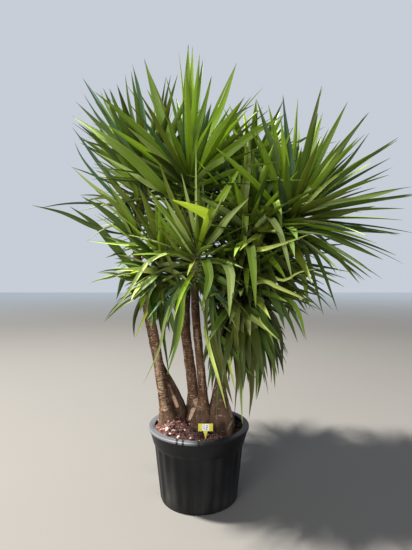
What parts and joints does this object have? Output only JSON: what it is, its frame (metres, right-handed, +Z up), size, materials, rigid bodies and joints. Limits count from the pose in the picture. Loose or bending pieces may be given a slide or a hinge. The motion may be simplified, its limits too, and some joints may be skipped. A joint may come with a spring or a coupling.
{
  "type": "giant yucca in a pot",
  "caption": "Clump of leaning ringed woody canes with swollen feet, topped by dense heads of long sword-shaped leaves, in a round black nursery pot with a flat beaded rim.",
  "frame": {"origin": "centre of the pot's flat underside, on the ground", "axes": "+Z up, -Y towards the plant's front as pictured, +X to the right seen from the front"},
  "size_m": [2.5744, 1.9669, 2.9756],
  "materials": {
    "pot": "satin",
    "soil": "matte",
    "label": "satin",
    "bark": "matte",
    "leaves": "satin"
  },
  "bodies": {
    "root": {"pot": "pot", "soil": "soil", "plant_label": "label", "stem_left_front": "bark", "stem_left_back": "bark", "stem_middle_back": "bark", "stem_middle_front": "bark", "stem_right": "bark", "bough_right": "bark", "bough_back_right": "bark", "bough_low_right": "bark", "bough_middle_right": "bark", "bough_back": "bark", "bough_middle": "bark", "head_top": "leaves", "head_left": "leaves", "head_right": "leaves", "head_back_right": "leaves", "head_front": "leaves", "head_low_left": "leaves", "head_low_right": "leaves", "head_middle_right": "leaves", "head_back": "leaves", "head_middle": "leaves"}
  },
  "joints": []
}
